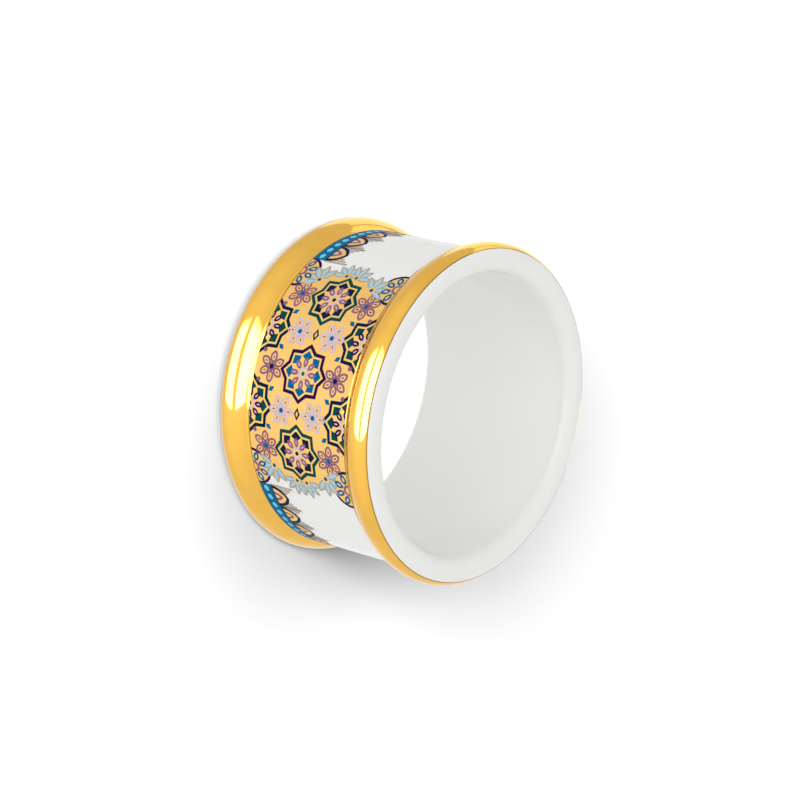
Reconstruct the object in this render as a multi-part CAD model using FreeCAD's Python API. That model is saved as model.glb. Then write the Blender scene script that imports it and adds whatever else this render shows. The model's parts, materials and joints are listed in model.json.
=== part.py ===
import FreeCAD, Part
import math
import os

# Napkin ring of glazed porcelain: one slip-cast and fired piece, turned true on both ends.
# A straight tube that a rolled napkin goes through carries a swelling bead round each end.
# The ring stands on one end, with its axis along +Z and the origin under it on the surface
# that it stands on. Both ends are alike. All sizes are in millimetres.

# Driving dimensions
ring_length = 28.6          # end to end along the axis
bore_radius = 20.75         # the passage for the napkin
waist_wall = 2.75           # thickness of the plain tube between the beads
bead_rise = 1.5             # how far a bead stands out from the tube
bead_width = 4.95           # along the axis, from the end face to where the bead meets the tube
end_flat = 0.5              # width of the flat on the end, which the ring stands on
mouth_round = 1.75          # rounding from the end flat into the bore
crease_round = 0.45         # glaze that fills the corner between bead and tube

# Sizes that follow from them
waist_radius = bore_radius + waist_wall
rim_radius = waist_radius + bead_rise
flat_inner_radius = bore_radius + mouth_round
flat_outer_radius = flat_inner_radius + end_flat
lip_round = rim_radius - flat_outer_radius
bead_run = bead_width - lip_round
bead_arc_radius = (bead_run ** 2 + bead_rise ** 2) / (2 * bead_rise)


def on_round(centre_r, centre_z, radius, angle):
    """The point of a round in the section, at an angle in degrees from straight outwards."""
    turn = math.radians(angle)
    return FreeCAD.Vector(centre_r + radius * math.cos(turn), 0, centre_z + radius * math.sin(turn))


def round_edge(centre_r, centre_z, radius, start, end):
    """One round of the section, from its start angle to its end angle."""
    middle = (start + end) / 2
    points = [on_round(centre_r, centre_z, radius, angle) for angle in (start, middle, end)]
    return Part.Arc(*points).toShape()


def straight_edge(start_r, start_z, end_r, end_z):
    """One straight stretch of the section."""
    return Part.makeLine(FreeCAD.Vector(start_r, 0, start_z), FreeCAD.Vector(end_r, 0, end_z))


def crease_place():
    """Where the round that fills the crease sits: its depth below the end, and its angle on the bead."""
    bead_centre_r = rim_radius - bead_arc_radius
    fill_centre_r = waist_radius + crease_round
    reach = bead_arc_radius + crease_round
    turn = math.acos((fill_centre_r - bead_centre_r) / reach)
    return lip_round + reach * math.sin(turn), math.degrees(turn)


def end_section():
    """The section of the ring's upper end: from the tube's outside, over the bead, into the bore."""
    crease_depth, crease_angle = crease_place()
    top = ring_length
    widest = top - lip_round
    fill = round_edge(waist_radius + crease_round, top - crease_depth, crease_round, 180, 180 - crease_angle)
    bead = round_edge(rim_radius - bead_arc_radius, widest, bead_arc_radius, -crease_angle, 0)
    lip = round_edge(flat_outer_radius, widest, lip_round, 0, 90)
    flat = straight_edge(flat_outer_radius, top, flat_inner_radius, top)
    mouth = round_edge(flat_inner_radius, top - mouth_round, mouth_round, 90, 180)
    return [fill, bead, lip, flat, mouth]


def ring():
    """The whole section turned about the axis: the upper end, the same mirrored below, tube and bore."""
    upper = end_section()
    half_way_up = FreeCAD.Vector(0, 0, ring_length / 2)
    lower = [edge.mirror(half_way_up, FreeCAD.Vector(0, 0, 1)) for edge in upper]
    crease_depth, _ = crease_place()
    tube = straight_edge(waist_radius, crease_depth, waist_radius, ring_length - crease_depth)
    bore = straight_edge(bore_radius, ring_length - mouth_round, bore_radius, mouth_round)
    outline = Part.__sortEdges__(upper + lower + [tube, bore])
    section = Part.Face(Part.Wire(outline))
    return section.revolve(FreeCAD.Vector(0, 0, 0), FreeCAD.Vector(0, 0, 1), 360)


os.makedirs("parts", exist_ok=True)
porcelain_ring = ring()
porcelain_ring.exportStep("parts/porcelain_ring.step")

print("valid", porcelain_ring.isValid(), "type", porcelain_ring.ShapeType)
print("across %.2f, long %.2f" % (2 * rim_radius, ring_length), "volume %.1f mm3" % porcelain_ring.Volume)
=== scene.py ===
import json
import math

import bmesh
import bpy
from mathutils import Matrix, Vector


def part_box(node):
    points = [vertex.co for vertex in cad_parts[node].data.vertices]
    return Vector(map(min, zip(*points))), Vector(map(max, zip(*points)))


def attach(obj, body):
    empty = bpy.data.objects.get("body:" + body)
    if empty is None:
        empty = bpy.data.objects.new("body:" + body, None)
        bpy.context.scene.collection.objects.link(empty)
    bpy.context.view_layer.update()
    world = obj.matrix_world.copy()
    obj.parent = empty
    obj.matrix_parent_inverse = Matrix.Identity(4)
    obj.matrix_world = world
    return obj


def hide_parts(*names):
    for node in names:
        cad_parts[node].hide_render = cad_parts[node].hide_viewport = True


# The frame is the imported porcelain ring. It stands on one end, with its axis along +Z.
# Its rim, its length and its bore are read from it, and every other size below is in millimetres.
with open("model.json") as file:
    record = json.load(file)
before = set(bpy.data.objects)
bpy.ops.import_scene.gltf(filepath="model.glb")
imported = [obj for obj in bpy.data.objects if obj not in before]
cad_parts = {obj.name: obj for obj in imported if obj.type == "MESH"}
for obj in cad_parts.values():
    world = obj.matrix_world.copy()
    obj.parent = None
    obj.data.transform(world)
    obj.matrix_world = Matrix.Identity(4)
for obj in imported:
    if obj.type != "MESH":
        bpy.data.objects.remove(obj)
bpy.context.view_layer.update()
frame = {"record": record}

MM = 0.001
ring_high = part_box("porcelain_ring")[1]
ring_length = ring_high.z / MM
rim_radius = round(ring_high.x / MM, 2)
mounts = {mount["name"]: mount for mount in frame["record"]["mounts"]}
bore_radius = mounts["napkin_bore"]["dims"]["r_mm"]
mid_height = ring_length / 2

# The body is hard porcelain, slip-cast in a plaster mould, with both ends turned true on a wheel
# before it was fired. It is one piece: a straight tube with a swelling bead round each end, and
# it is glazed all over, so every edge is round and a little glaze fills the corner at each bead.
waist_wall = 2.75
bead_rise = 1.5
bead_width = 4.95
end_flat = 0.5
mouth_round = 1.75
crease_round = 0.45
quarter_turn = math.radians(90)
turns_per_ring = 288        # steps round the axis
crease_steps, bead_steps, lip_steps, mouth_steps = 7, 14, 14, 12
merge_distance = 0.0005     # points as near as this are one

waist_radius = bore_radius + waist_wall
flat_inner_radius = bore_radius + mouth_round
flat_outer_radius = flat_inner_radius + end_flat
lip_round = rim_radius - flat_outer_radius
bead_run = bead_width - lip_round
bead_arc_radius = (bead_run ** 2 + bead_rise ** 2) / (2 * bead_rise)
widest_height = ring_length - lip_round
crease_reach = bead_arc_radius + crease_round
crease_turn = math.acos((waist_radius + crease_round - rim_radius + bead_arc_radius) / crease_reach)
crease_height = widest_height - crease_reach * math.sin(crease_turn)


def start_section(work, radius, height):
    """Puts down the first point of a section line, in the plane through the axis."""
    return work.verts.new((radius, 0, height))


def draw_straight(work, point, radius, height, steps):
    """Draws the section line on to a place, in even steps."""
    step = (Vector((radius, 0, height)) - point.co) / steps
    for _ in range(steps):
        ahead = point.co + step
        point = bmesh.ops.extrude_vert_indiv(work, verts=[point])["verts"][0]
        point.co = ahead
    return point


def draw_round(work, point, radius, height, turn, steps):
    """Draws the section line on round a centre. A turn above zero goes from outwards to upwards."""
    centre = Vector((radius, 0, height))
    spun = bmesh.ops.spin(work, geom=[point], cent=centre, axis=(0, -1, 0), angle=turn, steps=steps)
    return [part for part in spun["geom_last"] if isinstance(part, bmesh.types.BMVert)][0]


def draw_over_bead(work, foot, lip_turn, steps):
    """Draws the line from its foot in the crease, over the bead and up the lip, as far as it is told."""
    point = draw_round(work, foot, waist_radius + crease_round, crease_height, -crease_turn, crease_steps)
    point = draw_round(work, point, rim_radius - bead_arc_radius, widest_height, crease_turn, bead_steps)
    return draw_round(work, point, flat_outer_radius, widest_height, lip_turn, steps)


def turn_on_axis(work):
    """Turns the section line once round the ring's axis, and makes one closed skin of it."""
    line = work.verts[:] + work.edges[:]
    bmesh.ops.spin(
        work, geom=line, cent=(0, 0, 0), axis=(0, 0, 1), angle=math.tau, steps=turns_per_ring, use_merge=True
    )
    bmesh.ops.remove_doubles(work, verts=work.verts, dist=merge_distance)
    bmesh.ops.recalc_face_normals(work, faces=work.faces)


def finish_piece(work, name, sharp_from=180):
    """Makes a named object of the work, in metres, smooth apart from edges as sharp as the angle."""
    for face in work.faces:
        face.smooth = True
    for edge in work.edges:
        if edge.is_manifold and edge.calc_face_angle() > math.radians(sharp_from):
            edge.smooth = False
    bmesh.ops.scale(work, vec=(MM, MM, MM), verts=work.verts)
    mesh = bpy.data.meshes.new(name)
    work.to_mesh(mesh)
    work.free()
    piece = bpy.data.objects.new(name, mesh)
    bpy.context.scene.collection.objects.link(piece)
    return piece


def add_node(tree, kind, inputs, **settings):
    """Adds a node with its settings. An input is a value, an output to link, or a node, for its first one.
    It goes by its name, or by its number where a node has two of that name."""
    made = tree.nodes.new(kind)
    for name, value in settings.items():
        setattr(made, name, value)
    for name, value in inputs.items():
        named = [socket for n, socket in enumerate(made.inputs) if name in (n, socket.name)]
        live = [socket for socket in named if socket.enabled][0]
        if isinstance(value, bpy.types.Node):
            value = [socket for socket in value.outputs if socket.enabled][0]
        if isinstance(value, bpy.types.NodeSocket):
            tree.links.new(value, live)
        else:
            live.default_value = value
    return made


def linear(code):
    """A colour written as sRGB hex, as the linear values that a shader takes."""
    channels = [int(code[place:place + 2], 16) / 255 for place in (1, 3, 5)]
    return [c / 12.92 if c <= 0.04045 else ((c + 0.055) / 1.055) ** 2.4 for c in channels] + [1]


def start_material(name):
    """A new material with no nodes yet."""
    material = bpy.data.materials.new(name)
    material.use_nodes = True
    material.node_tree.nodes.clear()
    return material, material.node_tree


def make_glazed_porcelain():
    """Hard white porcelain under clear glaze. The eye sees a cool, even white with a soft depth,
    and reflections that swim a little, because the glaze lies in slow waves."""
    material, tree = start_material("glazed_porcelain")
    place = add_node(tree, "ShaderNodeTexCoord", {})
    glaze_wave = 6.0
    wave = add_node(tree, "ShaderNodeTexNoise", {
        "Vector": place.outputs["Object"], "Scale": 1 / (glaze_wave * MM), "Detail": 1.5, "Roughness": 0.4})
    swell = add_node(tree, "ShaderNodeBump", {
        "Height": wave, "Strength": 0.25, "Distance": 0.06 * MM})
    cloud_size = 14.0
    cloud = add_node(tree, "ShaderNodeTexNoise", {
        "Vector": place.outputs["Object"], "Scale": 1 / (cloud_size * MM), "Detail": 3.0})
    tone = add_node(tree, "ShaderNodeMix", {
        "Factor": cloud, "A": linear("#EDEDEA"), "B": linear("#F1F1EF")}, data_type="RGBA")
    skin = add_node(tree, "ShaderNodeBsdfPrincipled", {
        "Base Color": tone, "Roughness": 0.09, "IOR": 1.52, "Normal": swell,
        "Subsurface Weight": 0.12, "Subsurface Radius": (1.0, 0.95, 0.9), "Subsurface Scale": 0.8 * MM})
    add_node(tree, "ShaderNodeOutputMaterial", {"Surface": skin})
    return material


section = bmesh.new()
point = start_section(section, waist_radius, mid_height)
point = draw_straight(section, point, waist_radius, crease_height, 6)
point = draw_over_bead(section, point, quarter_turn, lip_steps)
point = draw_straight(section, point, flat_inner_radius, ring_length, 2)
point = draw_round(section, point, flat_inner_radius, ring_length - mouth_round, quarter_turn, mouth_steps)
draw_straight(section, point, bore_radius, mid_height, 8)
bmesh.ops.mirror(
    section, geom=section.verts[:] + section.edges[:], matrix=Matrix.Translation((0, 0, -mid_height)),
    merge_dist=merge_distance, axis="Z"
)
turn_on_axis(section)
glazed_body = finish_piece(section, "glazed_body")
glazed_body.data.materials.append(make_glazed_porcelain())
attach(glazed_body, "root")
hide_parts("porcelain_ring")

# Both beads are gilded: bright gold is brushed over the glaze while the ring turns on a wheel, and
# fired on. The film runs from high on the lip, over the bead, and just past the crease.
gilt_lift = 0.02            # drawn thicker than the real film, so that it stays clear of the glaze
gilt_wall = 0.03
gilt_lip_turn = 52          # degrees up the lip's round, to where the bare white starts
gilt_lip_steps = 9
gilt_reach = 5.3            # from the end, along the tube


def make_bright_gold():
    """Bright burnished gold over glaze, brushed on round the ring. The eye sees a mirror of deep yellow with
    faint rings left by the brush. Where the film ends, a thin brown line is painted: painted shade in the
    crease, a painted dark reflection on the lip."""
    material, tree = start_material("bright_gold")
    place = add_node(tree, "ShaderNodeTexCoord", {})
    brush_line = 0.25
    stretched = add_node(tree, "ShaderNodeMapping", {
        "Vector": place.outputs["Object"], "Scale": (0.04, 0.04, 1.0)})
    brushed = add_node(tree, "ShaderNodeTexNoise", {
        "Vector": stretched, "Scale": 1 / (brush_line * MM), "Detail": 2.0})
    marks = add_node(tree, "ShaderNodeBump", {
        "Height": brushed, "Strength": 0.05, "Distance": 0.01 * MM})
    glaze_dimple = 2.6
    dimpled = add_node(tree, "ShaderNodeTexNoise", {
        "Vector": place.outputs["Object"], "Scale": 1 / (glaze_dimple * MM), "Detail": 2.0})
    swell = add_node(tree, "ShaderNodeBump", {
        "Height": dimpled, "Strength": 0.3, "Distance": 0.05 * MM, "Normal": marks})
    film_patch = 4.0
    film = add_node(tree, "ShaderNodeTexNoise", {
        "Vector": place.outputs["Object"], "Scale": 1 / (film_patch * MM), "Detail": 4.0})
    tone = add_node(tree, "ShaderNodeMix", {
        "Factor": film, "A": linear("#E6AE48"), "B": linear("#F0C25E")}, data_type="RGBA")
    height = add_node(tree, "ShaderNodeSeparateXYZ", {"Vector": place.outputs["Object"]})
    level = add_node(tree, "ShaderNodeMath", {
        0: height.outputs["Z"], 1: mid_height * MM}, operation="SUBTRACT")
    from_middle = add_node(tree, "ShaderNodeMath", {0: level}, operation="ABSOLUTE")
    waist_end = (mid_height - gilt_reach) * MM
    lip_end = (widest_height + lip_round * math.sin(math.radians(gilt_lip_turn)) - mid_height) * MM
    # Painted shade and reflection: the gold turns brown along both ends of the film, for the shade in the
    # crease and the dark reflection on the lip's round.
    crease_shade_width, lip_shade_width = 0.3 * MM, 0.14 * MM
    painted_crease_shade = add_node(tree, "ShaderNodeMapRange", {
        "Value": from_middle, "From Min": waist_end, "From Max": waist_end + crease_shade_width,
        "To Min": 1, "To Max": 0})
    painted_lip_dark_reflection = add_node(tree, "ShaderNodeMapRange", {
        "Value": from_middle, "From Min": lip_end - lip_shade_width, "From Max": lip_end})
    painted_edge_shade = add_node(tree, "ShaderNodeMath", {0: painted_crease_shade, 1: painted_lip_dark_reflection}, operation="MAXIMUM")
    shade_edged_tone = add_node(tree, "ShaderNodeMix", {
        "Factor": painted_edge_shade, "A": tone, "B": linear("#8A6530")}, data_type="RGBA")
    metal = add_node(tree, "ShaderNodeBsdfPrincipled", {
        "Base Color": shade_edged_tone, "Metallic": 1.0, "Roughness": 0.06, "Normal": swell})
    add_node(tree, "ShaderNodeOutputMaterial", {"Surface": metal})
    return material


bright_gold = make_bright_gold()
gildings = []
for name, upper in (("gilding_upper", True), ("gilding_lower", False)):
    band = bmesh.new()
    point = start_section(band, waist_radius + gilt_lift, ring_length - gilt_reach)
    point = draw_straight(band, point, waist_radius + gilt_lift, crease_height, 2)
    draw_over_bead(band, point, math.radians(gilt_lip_turn), gilt_lip_steps)
    if not upper:
        bmesh.ops.scale(band, vec=(1, 1, -1), verts=band.verts)
        bmesh.ops.translate(band, vec=(0, 0, ring_length), verts=band.verts)
    turn_on_axis(band)
    bmesh.ops.solidify(band, geom=band.faces[:], thickness=gilt_wall)
    gilding = finish_piece(band, name, sharp_from=50)
    gilding.data.materials.append(bright_gold)
    gilding.visible_diffuse = False     # so that it throws no yellow light on the white
    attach(gilding, "root")
    gildings.append(gilding)

# The print goes on as transfers: inks screened flat on a sheet, slid on to the glazed waist and
# fired. Two gold-grounded panels lie half a turn apart, with bare white between them. Each ink here
# is a thin slab on a flat sheet, which is clipped, cut into narrow strips and wrapped on the waist.
ink_step = 0.006            # how much higher each ink lies on the one below
ink_depth = 0.02            # how far a slab reaches into the glaze
wrap_step = 0.6             # the width of a strip, so that the slabs follow the round waist
print_half_height = mid_height - gilt_reach
panels = 2
panel_pitch = math.tau * waist_radius / panels
ink_colours = {
    "gold": "#F3C473", "navy": "#0A2240", "teal": "#006896", "green": "#064A48", "aubergine": "#300C46",
    "mauve": "#93617F", "lilac": "#D3BFD0", "pale_blue": "#A9D0DF", "cyan": "#6FCDE8", "grey": "#B3A899"}
ink_order = list(ink_colours)


def make_ink(name, code):
    """Fired enamel ink, screened through a fine mesh. The eye sees a flat, clean colour with hardly any
    gloss, a little uneven where the ink lies thicker. The gold ink is a satin metal."""
    material, tree = start_material("ink_" + name)
    place = add_node(tree, "ShaderNodeTexCoord", {})
    screen_pitch = 0.35
    uneven = add_node(tree, "ShaderNodeTexNoise", {
        "Vector": place.outputs["Object"], "Scale": 1 / (screen_pitch * MM), "Detail": 2.0})
    thick = add_node(tree, "ShaderNodeMapRange", {"Value": uneven, "To Min": 0.9, "To Max": 1.1})
    shade = add_node(tree, "ShaderNodeHueSaturation", {"Color": linear(code), "Value": thick})
    metallic = 0.75 if name == "gold" else 0.0
    enamel = add_node(tree, "ShaderNodeBsdfPrincipled", {
        "Base Color": shade, "Roughness": 0.35, "Metallic": metallic, "IOR": 1.08})
    add_node(tree, "ShaderNodeOutputMaterial", {"Surface": enamel})
    return material


def disc(radius, segments=24):
    """A round spot."""
    shape = bmesh.new()
    bmesh.ops.create_circle(shape, cap_ends=True, segments=segments, radius=radius)
    return shape


def star(points, radius, waist):
    """A star: a circle's points, with every second one drawn in to a share of the radius."""
    shape = bmesh.new()
    rim = bmesh.ops.create_circle(shape, cap_ends=True, segments=2 * points, radius=radius)["verts"]
    bmesh.ops.scale(shape, vec=(waist, waist, 1), verts=rim[1::2])
    return shape


def lozenge(length, width):
    """A diamond, long from left to right."""
    shape = disc(0.5, 4)
    bmesh.ops.scale(shape, vec=(length, width, 1), verts=shape.verts)
    return shape


def bar(length, width):
    """A straight strip, long from left to right."""
    shape = bmesh.new()
    bmesh.ops.create_grid(shape, x_segments=1, y_segments=1, size=0.5)
    bmesh.ops.scale(shape, vec=(length, width, 1), verts=shape.verts)
    return shape


def leaf(length, width):
    """A leaf with a point at each end: two equal rounds, spun from tip to tip."""
    shape = bmesh.new()
    reach, swell = length / 2, width / 2
    radius = (reach ** 2 + swell ** 2) / (2 * swell)
    turn = 2 * math.asin(reach / radius)
    tip = shape.verts.new((reach, 0, 0))
    for side in (-1, 1):
        centre = Vector((0, side * (radius - swell), 0))
        bmesh.ops.spin(shape, geom=[tip], cent=centre, axis=(0, 0, 1), angle=turn, steps=9)
        tip = min(shape.verts, key=lambda vert: vert.co.x)
    bmesh.ops.remove_doubles(shape, verts=shape.verts, dist=merge_distance)
    bmesh.ops.contextual_create(shape, geom=shape.edges)
    return shape


def turned(reach, heading):
    """The place that lies so far out from a middle, under a heading in degrees."""
    return Vector((reach * math.cos(math.radians(heading)), reach * math.sin(math.radians(heading)), 0))


def lay(sheet, shape, ink, level, x, y, heading=0.0):
    """Lays a shape on the sheet in one ink: turned, moved to its place and lifted to its level."""
    bmesh.ops.rotate(shape, matrix=Matrix.Rotation(math.radians(heading), 3, "Z"), verts=shape.verts)
    bmesh.ops.translate(shape, vec=(x, y, level * ink_step), verts=shape.verts)
    bmesh.ops.triangulate(shape, faces=shape.faces)
    shape.normal_update()
    for face in shape.faces:
        face.material_index = ink_order.index(ink)
        if face.normal.z < 0:
            face.normal_flip()
    carrier = bpy.data.meshes.new("carrier")
    shape.to_mesh(carrier)
    shape.free()
    sheet.from_mesh(carrier)
    bpy.data.meshes.remove(carrier)


def both_ways(x, y, heading, up_and_down=True):
    """A place and its mirrored places, left and right and above and below, each with its heading."""
    places = {}
    for side in (1, -1):
        for rise in (1, -1) if up_and_down else (1,):
            facing = heading if side > 0 else 180 - heading
            places[(side * x + 0.0, rise * y + 0.0)] = rise * facing
    return [(place[0], place[1], facing) for place, facing in places.items()]


def lay_rosette(sheet, x, y, radius, petals, line, petal, eye, level=2):
    """A round flower: a rim of one ink, a gold field with pointed petals, and an eye in rings."""
    lay(sheet, disc(radius, 40), line, level, x, y)
    lay(sheet, disc(radius - 0.42, 36), "gold", level + 1, x, y)
    for n in range(petals):
        turn = 360 * (n + 0.5) / petals
        out = turned(radius * 0.6, turn)
        lay(sheet, leaf(radius * 0.56, radius * 0.34), petal, level + 2, x + out.x, y + out.y, turn)
        lay(sheet, leaf(radius * 0.26, radius * 0.12), "gold", level + 3, x + out.x, y + out.y, turn)
    lay(sheet, disc(radius * 0.31), eye, level + 3, x, y)
    lay(sheet, disc(radius * 0.18, 16), "gold", level + 4, x, y)


def lay_palmette(sheet, x, y, heading, length, line, field, level=2):
    """A fan of five pointed leaves on a small round foot."""
    for n, spread in enumerate((-76, 76, -38, 38, 0)):
        turn = heading + spread
        out = turned(length / 2, turn)
        rise = level + 0.5 * n
        lay(sheet, leaf(length, length * 0.4), line, rise, x + out.x, y + out.y, turn)
        lay(sheet, leaf(length * 0.68, length * 0.2), field, rise + 0.25, x + out.x, y + out.y, turn)
    lay(sheet, disc(length * 0.22, 16), "gold", level + 3, x, y)
    lay(sheet, disc(length * 0.11, 12), "teal", level + 4, x, y)


def wrap_sheet(sheet, name, middle):
    """Clips the sheet to the waist, cuts it into strips, gives the inks their thickness and wraps it
    round the ring, once for each panel. Middle is how far round from the front its centre comes."""
    everything = sheet.verts[:] + sheet.edges[:] + sheet.faces[:]
    for side in (1, -1):
        edge = Vector((0, side * print_half_height, 0))
        bmesh.ops.bisect_plane(sheet, geom=everything, plane_co=edge, plane_no=(0, side, 0), clear_outer=True)
        everything = sheet.verts[:] + sheet.edges[:] + sheet.faces[:]
    strips = int(panel_pitch / wrap_step / 2) + 1
    for n in range(-strips, strips + 1):
        everything = sheet.verts[:] + sheet.edges[:] + sheet.faces[:]
        bmesh.ops.bisect_plane(sheet, geom=everything, plane_co=(n * wrap_step, 0, 0), plane_no=(1, 0, 0))
    foot = bmesh.ops.extrude_face_region(sheet, geom=sheet.faces[:], use_keep_orig=True)["geom"]
    for part in foot:
        if isinstance(part, bmesh.types.BMVert):
            part.co.z = -ink_depth
    bmesh.ops.recalc_face_normals(sheet, faces=sheet.faces)
    for vert in sheet.verts:
        angle = (vert.co.x + middle) / waist_radius - math.pi / 2
        radius = waist_radius + vert.co.z
        vert.co = Vector((radius * math.cos(angle), radius * math.sin(angle), mid_height + vert.co.y))
    bmesh.ops.triangulate(sheet, faces=sheet.faces)
    once = sheet.verts[:] + sheet.edges[:] + sheet.faces[:]
    others = panels - 1
    bmesh.ops.spin(
        sheet, geom=once, cent=(0, 0, 0), axis=(0, 0, 1), angle=math.tau * others / panels, steps=others,
        use_duplicate=True)
    piece = finish_piece(sheet, name)
    outwards = [Vector((vert.co.x, vert.co.y, 0)).normalized() for vert in piece.data.vertices]
    piece.data.normals_split_custom_set_from_vertices(outwards)
    for ink in ink_order:
        piece.data.materials.append(inks[ink])
    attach(piece, "root")
    return piece


inks = {name: make_ink(name, code) for name, code in ink_colours.items()}


def lay_star(sheet, x, y, reach, line, field, petal):
    """An eight-pointed star: a line round a gold strap, a coloured field with a second star turned in
    it, and eight petals round an eye."""
    lay(sheet, star(8, reach, 0.8), line, 2, x, y)
    lay(sheet, star(8, reach - 0.65, 0.79), "gold", 3, x, y)
    lay(sheet, star(8, reach - 1.05, 0.79), field, 4, x, y)
    lay(sheet, star(8, reach - 1.6, 0.66), "gold", 5, x, y, 22.5)
    for n in range(8):
        out = turned(1.62, 45 * n)
        lay(sheet, leaf(1.5, 0.86), petal, 6, x + out.x, y + out.y, 45 * n)
        lay(sheet, leaf(0.7, 0.24), "lilac", 7, x + out.x, y + out.y, 45 * n)
    lay(sheet, disc(0.95), "lilac", 7, x, y)
    lay(sheet, disc(0.66), "gold", 8, x, y)
    lay(sheet, disc(0.32, 14), field, 9, x, y)


def lay_flower(sheet, x, y, line, core, eye, heading=0):
    """A small flower of six petals, each drawn with a line round gold."""
    for n in range(6):
        turn = 60 * n + heading
        out = turned(1.4, turn)
        lay(sheet, leaf(1.9, 1.3), line, 2 + 0.1 * n, x + out.x, y + out.y, turn)
        lay(sheet, leaf(1.15, 0.66), "gold", 3, x + out.x, y + out.y, turn)
        lay(sheet, leaf(0.6, 0.22), core, 4, x + out.x, y + out.y, turn)
    lay(sheet, disc(0.62, 18), line, 5, x, y)
    lay(sheet, disc(0.36, 14), eye, 6, x, y)


star_pitch = 11.5
star_reach = 4.35
row_rise = print_half_height
panel = bmesh.new()
lay(panel, bar(26.0, 2 * print_half_height + 1), "gold", 1, 0, 0)
for n, (x, y, size) in enumerate(((12.6, 5.2, 4.0), (12.6, -5.2, 4.0), (13.0, 0.0, 4.2))):
    for side in (1, -1):
        lay(panel, disc(size, 36), "gold", 1.2 + 0.2 * n, side * x, y)

lay_star(panel, 0, 0, star_reach, "aubergine", "teal", "mauve")
for side in (1, -1):
    lay_star(panel, side * star_pitch, 0, star_reach, "green", "navy", "mauve")
    lay_flower(panel, 0, side * row_rise * 2 / 3, "mauve", "teal", "navy")
for x, y, _ in both_ways(star_pitch / 2, row_rise, 0):
    lay_star(panel, x, y, star_reach, "navy", "green", "aubergine")
for x, y, heading in both_ways(star_pitch / 2, row_rise / 3, 30):
    lay_flower(panel, x, y, "lilac", "mauve", "teal", heading)
for x, y, heading in both_ways(star_pitch, row_rise * 2 / 3, 0):
    lay_flower(panel, x, y, "mauve", "aubergine", "teal", heading)
for x, y, heading in both_ways(3.05, 5.3, 57):
    lay(panel, lozenge(1.25, 0.8), "teal", 2, x, y, heading)
for x, y, heading in both_ways(8.5, 5.3, -57):
    lay(panel, lozenge(1.25, 0.8), "teal", 2, x, y, heading)
for x, y, _ in both_ways(2.15, 7.95, 0) + both_ways(9.4, 7.95, 0):
    lay(panel, disc(0.36, 14), "mauve", 2, x, y)
for x, y, _ in both_ways(star_pitch / 2, 0.0, 0, False):
    lay(panel, lozenge(1.9, 1.1), "navy", 2, x, y)
    lay(panel, lozenge(0.9, 0.45), "gold", 3, x, y)
for x, y, heading in both_ways(14.4, 4.9, 40):
    lay_palmette(panel, x, y, heading, 3.0, "grey", "pale_blue")
for x, y, heading in both_ways(16.0, 0.9, 12):
    lay_palmette(panel, x, y, heading, 2.7, "grey", "pale_blue")
for x, y, _ in both_ways(15.4, 9.0, 0):
    lay_rosette(panel, x, y, 3.0, 8, "aubergine" if y < 0 else "navy", "teal", "mauve")
wrap_sheet(panel, "printed_panels", 0.0)

# Between the panels a border runs along the lower bead: a blue band with pale beads in it, and a
# row of pointed leaves that stands on it, with short grey strokes for a fringe.
corner_reach = 18.2         # from a panel's middle to where its corner rosettes end, and the band starts
border_length = panel_pitch - 2 * corner_reach
band_width = 2.1
bead_pitch = 1.7
leaves = 9
leaf_pitch = border_length / leaves
border = bmesh.new()
band_middle = band_width / 2 - print_half_height
leaf_foot = band_width - print_half_height
for n in range(leaves):
    x = (n - (leaves - 1) / 2) * leaf_pitch
    lay(border, leaf(5.6, 4.1), "navy", 2, x, leaf_foot, 90)
    lay(border, leaf(4.5, 3.0), "gold", 3, x, leaf_foot, 90)
    lay(border, leaf(3.3, 1.7), "mauve", 4, x, leaf_foot, 90)
    lay(border, leaf(2.2, 0.8), "gold", 5, x, leaf_foot, 90)
    for side in (-1, 1):
        for stroke, height in enumerate((4.2, 3.6, 3.0)):
            out = side * (leaf_pitch / 2 - stroke * 0.5)
            lay(border, bar(height, 0.4), "grey", 1, x + out, leaf_foot + height / 2, 90)
lay(border, bar(border_length, band_width + 0.4), "navy", 6, 0, band_middle)
lay(border, bar(border_length, band_width), "teal", 7, 0, band_middle)
beads = int(border_length / bead_pitch)
for n in range(beads):
    bead = disc(0.5, 14)
    bmesh.ops.scale(bead, vec=(1.15, 0.85, 1), verts=bead.verts)
    lay(border, bead, "cyan", 8, (n - (beads - 1) / 2) * bead_pitch, band_middle)
wrap_sheet(border, "printed_borders", panel_pitch / 2)

# The picture is taken from in front of the ring and above it, with the camera rolled so far that
# the ring's axis lies almost level in the frame.
camera_azimuth = 0.0
camera_elevation = 38.83
camera_roll = 103.62
camera_distance = 399.2
camera_aim = (0.37, -0.47, 13.69)
camera_lens = 123.09


def look_from(azimuth, elevation, roll):
    """The camera's turn: a level camera at that azimuth and elevation, rolled about its own axis."""
    around, up = math.radians(azimuth), math.radians(elevation)
    back = Vector((math.sin(around) * math.cos(up), -math.cos(around) * math.cos(up), math.sin(up)))
    level = (-back).to_track_quat("-Z", "Y").to_matrix()
    return level @ Matrix.Rotation(math.radians(roll), 3, "Z")


camera_turn = look_from(camera_azimuth, camera_elevation, camera_roll)
picture_back = camera_turn.col[2].copy()
camera = bpy.data.objects.new("camera", bpy.data.cameras.new("camera"))
camera.data.lens = camera_lens
camera.data.sensor_width = 36
camera.data.clip_start, camera.data.clip_end = 0.01, 10
camera.location = (Vector(camera_aim) + picture_back * camera_distance) * MM
camera.rotation_euler = camera_turn.to_euler()
bpy.context.scene.collection.objects.link(camera)
bpy.context.scene.camera = camera

# The floor is a pale sheet of paper that the ring stands on. It reaches past the edges of the picture.
# Mirrors and lamps look through it, because the studio below the horizon stands in for it there.
floor_size = 4000.0
paper_share = 0.20          # how much light the paper sends back
paper_glow = 0.13           # what the camera sees besides, so that the open floor is white
painted_bore_glow = 0.88           # the painted glow that the round under the bore sends up, for all rays but the camera's


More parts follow.
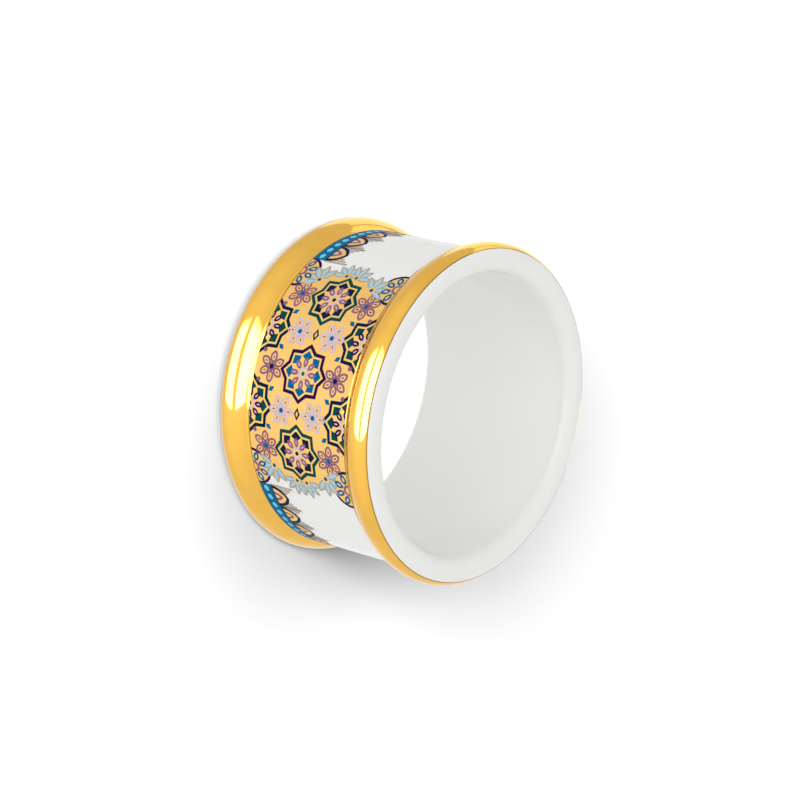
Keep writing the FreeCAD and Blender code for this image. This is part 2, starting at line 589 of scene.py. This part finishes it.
def make_floor_paper():
    """White paper, matt, which keeps the ring's shadow. The round that shows through the bore is painted
    light: it glows white, so it shows no shadow of the ring, and it lights the bore from below."""
    material, tree = start_material("floor_paper")
    path = add_node(tree, "ShaderNodeLightPath", {})
    place = add_node(tree, "ShaderNodeTexCoord", {})
    from_axis = add_node(tree, "ShaderNodeVectorMath", {0: place.outputs["Object"]}, operation="LENGTH")
    # Painted light: the round under the bore glows, white for the camera and a little less for other rays.
    in_bore = add_node(tree, "ShaderNodeMath", {
        0: from_axis.outputs["Value"], 1: (bore_radius + waist_wall / 2) * MM}, operation="LESS_THAN")
    glow = add_node(tree, "ShaderNodeMath", {
        0: path.outputs["Is Camera Ray"], 1: paper_glow}, operation="MULTIPLY")
    paper = add_node(tree, "ShaderNodeBsdfDiffuse", {"Color": (paper_share, paper_share, paper_share, 1)})
    lift = add_node(tree, "ShaderNodeEmission", {"Color": (1, 1, 1, 1), "Strength": glow})
    lifted = add_node(tree, "ShaderNodeAddShader", {0: paper, 1: lift})
    bore_glow_strength = add_node(tree, "ShaderNodeMapRange", {
        "Value": path.outputs["Is Camera Ray"], "To Min": painted_bore_glow, "To Max": 1.0})
    white = add_node(tree, "ShaderNodeEmission", {"Color": (1, 1, 1, 1), "Strength": bore_glow_strength.outputs["Result"]})
    sheet = add_node(tree, "ShaderNodeMixShader", {"Fac": in_bore, 1: lifted, 2: white})
    add_node(tree, "ShaderNodeOutputMaterial", {"Surface": sheet})
    return material


sheet = bmesh.new()
bmesh.ops.create_grid(sheet, x_segments=1, y_segments=1, size=floor_size / 2)
floor = finish_piece(sheet, "floor")
floor.data.materials.append(make_floor_paper())
floor.visible_glossy = False
floor.visible_shadow = False

# The light is a white tent with an upright soft panel in front of the ring. The gold shows this panel
# brighter than it lights, and a faint one behind the ring on its left. It shows both once more below
# the horizon, as a shiny table would, with dark cloth round the front panel and on the left wall.
panel_distance = 600.0
panel_glow = 0.88
gold_glow = 7.0
left_glow = 0.6
left_fade, high_fade, table_fade = 0.2, 0.02, 0.4   # the shares of a panel over which its glow fades
front_azimuth = 0.0
plain_distance = 1.02       # the lamp that lights everything stands behind the one that the gold shows
edge_distance = 0.99
edge_width = 0.05
# The edges of each panel, as shares of its distance: left, right, low, high
front_panel = -0.50, 0.57, 0.14, 1.30
left_panel_azimuth, left_panel = 222.0, (-0.45, 0.45, 0.05, 0.90)
left_wall_azimuth, left_wall = 284.0, (-0.70, 0.70, 0.02, 0.85)


def add_lamp(name, place, turn, width, height, light):
    """A soft oblong lamp. Its light is its glow as the eye sees it, 1 for white."""
    lamp = bpy.data.objects.new(name, bpy.data.lights.new(name, "AREA"))
    lamp.data.shape = "RECTANGLE"
    lamp.data.size, lamp.data.size_y = width * MM, height * MM
    lamp.data.energy = light * math.pi * width * height * MM * MM
    lamp.location = place * MM
    lamp.rotation_euler = turn.to_euler()
    bpy.context.scene.collection.objects.link(lamp)
    return lamp


def light_only(lamp, name, pieces):
    """Keeps a lamp's light for some pieces."""
    lit = bpy.data.collections.new(name)
    for piece in pieces:
        lit.objects.link(piece)
    lamp.light_linking.receiver_collection = lit


def fade_glow(lamp, to_left, to_far_edge):
    """Lets a lamp's glow fall away to its left, and to its edge far from the floor, over such shares."""
    lamp.data.use_nodes = True
    tree = lamp.data.node_tree
    tree.nodes.clear()
    surface = add_node(tree, "ShaderNodeNewGeometry", {})
    share = add_node(tree, "ShaderNodeSeparateXYZ", {"Vector": surface.outputs["Parametric"]})
    sideways = add_node(tree, "ShaderNodeMapRange", {
        "Value": share.outputs["X"], "From Max": to_left}, interpolation_type="SMOOTHSTEP")
    upwards = add_node(tree, "ShaderNodeMapRange", {"Value": share.outputs["Y"], "From Max": to_far_edge})
    glow = add_node(tree, "ShaderNodeMath", {0: sideways, 1: upwards}, operation="MULTIPLY")
    beam = add_node(tree, "ShaderNodeEmission", {"Strength": glow})
    add_node(tree, "ShaderNodeOutputLight", {"Surface": beam})


def stand_panel(name, azimuth, edges, light, pieces=None, below=False):
    """An upright lamp at an azimuth. Below puts it under the floor, as the mirror image of itself."""
    left, right, low, high = edges
    turn = look_from(azimuth, 0, 0)
    middle_height = (low + high) / 2 * (-1 if below else 1)
    place = turn.col[2] + turn.col[0] * (left + right) / 2 + Vector((0, 0, middle_height))
    distance = panel_distance * (1 if pieces else plain_distance)
    lamp = add_lamp(name, place * distance, turn, (right - left) * distance, (high - low) * distance, light)
    if pieces:
        light_only(lamp, name + "_lights", pieces)
    return lamp


def stand_edge(name, azimuth, edges, cloth):
    """The cloth edge round an upright panel: a frame cut from one sheet. The camera doesn't see it."""
    left, right, low, high = edges
    frame_cloth = bmesh.new()
    bmesh.ops.create_grid(frame_cloth, x_segments=1, y_segments=1, size=0.5)
    spread = Vector((right - left + 2 * edge_width, high - low + 2 * edge_width, 1))
    bmesh.ops.scale(frame_cloth, vec=spread, verts=frame_cloth.verts)
    bmesh.ops.translate(frame_cloth, vec=((left + right) / 2, (low + high) / 2, 1), verts=frame_cloth.verts)
    cut = bmesh.ops.inset_region(
        frame_cloth, faces=frame_cloth.faces[:], thickness=edge_width, use_even_offset=True)
    opening = [face for face in frame_cloth.faces if face not in cut["faces"]]
    bmesh.ops.delete(frame_cloth, geom=opening, context="FACES")
    bmesh.ops.scale(frame_cloth, vec=[panel_distance * edge_distance] * 3, verts=frame_cloth.verts)
    bmesh.ops.rotate(frame_cloth, matrix=look_from(azimuth, 0, 0), verts=frame_cloth.verts)
    edge = finish_piece(frame_cloth, name)
    edge.data.materials.append(cloth)
    edge.visible_camera = False
    edge.visible_diffuse = False
    edge.visible_shadow = False


stand_panel("front_panel", front_azimuth, front_panel, panel_glow)
shine = stand_panel("front_shine", front_azimuth, front_panel, gold_glow, gildings)
fade_glow(shine, left_fade, high_fade)
table_shine = stand_panel("front_table_shine", front_azimuth, front_panel, gold_glow, gildings, True)
fade_glow(table_shine, left_fade, table_fade)
stand_panel("left_shine", left_panel_azimuth, left_panel, left_glow, gildings)
stand_panel("left_table_shine", left_panel_azimuth, left_panel, left_glow, gildings, True)
brown_cloth, cloth_tree = start_material("brown_cloth")
cloth_face = add_node(cloth_tree, "ShaderNodeBsdfDiffuse", {"Color": linear("#33291C")})
add_node(cloth_tree, "ShaderNodeOutputMaterial", {"Surface": cloth_face})
stand_edge("front_panel_edge", front_azimuth, front_panel, brown_cloth)
stand_edge("left_wall_edge", left_wall_azimuth, left_wall, brown_cloth)

# Three soft suns light the floor alone, and draw the ring's wide shadow on it. Each has its azimuth,
# its height over the horizon and its spread in degrees, and its light.
floor_suns = {
    "floor_sun": (-20.0, 50.0, 17.0, 0.95), "floor_side_sun": (-80.0, 70.0, 32.0, 1.3),
    "floor_low_sun": (-10.0, 30.0, 17.0, 1.45)}
for name, (azimuth, sun_height, spread, sun_light) in floor_suns.items():
    sun = bpy.data.objects.new(name, bpy.data.lights.new(name, "SUN"))
    sun.data.angle = math.radians(spread)
    sun.data.energy = sun_light * math.pi / math.sin(math.radians(sun_height))
    sun.rotation_euler = look_from(azimuth, sun_height, 0).to_euler()
    bpy.context.scene.collection.objects.link(sun)
    light_only(sun, name + "_lights", [floor])

roof_low, roof_high = 0.65, 0.92    # the tent's light at the horizon and overhead
front_lift, left_dim = 1.3, 0.86    # how bright the tent's front and left side look in a mirror
world = bpy.data.worlds.new("tent")
world.use_nodes = True
tent = world.node_tree
tent.nodes.clear()
path = add_node(tent, "ShaderNodeLightPath", {})
direction = add_node(tent, "ShaderNodeTexCoord", {})
way = add_node(tent, "ShaderNodeSeparateXYZ", {"Vector": direction.outputs["Generated"]})
roof = add_node(tent, "ShaderNodeMapRange", {
    "Value": way.outputs["Z"], "To Min": roof_low, "To Max": roof_high})
over_horizon = add_node(tent, "ShaderNodeMath", {0: way.outputs["Z"], 1: 0.0}, operation="GREATER_THAN")
lighting = add_node(tent, "ShaderNodeMath", {0: roof, 1: over_horizon}, operation="MULTIPLY")
front_shine = add_node(tent, "ShaderNodeMapRange", {
    "Value": way.outputs["Y"], "From Min": -0.8, "From Max": -0.1, "To Min": front_lift, "To Max": 1.0})
left_shine = add_node(tent, "ShaderNodeMapRange", {
    "Value": way.outputs["X"], "From Min": -0.5, "From Max": 0.2, "To Min": left_dim, "To Max": 1.0})
tent_shine = add_node(tent, "ShaderNodeMath", {0: front_shine, 1: left_shine}, operation="MULTIPLY")
light = add_node(tent, "ShaderNodeBackground", {"Color": (1, 1, 1, 1), "Strength": lighting})
mirrored = add_node(tent, "ShaderNodeBackground", {"Color": (1, 1, 1, 1), "Strength": tent_shine})
seen = add_node(tent, "ShaderNodeBackground", {"Color": (1, 1, 1, 1), "Strength": 1.0})
unseen = add_node(tent, "ShaderNodeMixShader", {"Fac": path.outputs["Is Glossy Ray"], 1: light, 2: mirrored})
whole = add_node(tent, "ShaderNodeMixShader", {"Fac": path.outputs["Is Camera Ray"], 1: unseen, 2: seen})
add_node(tent, "ShaderNodeOutputWorld", {"Surface": whole})
bpy.context.scene.world = world
bpy.context.scene.view_settings.view_transform = "Standard"
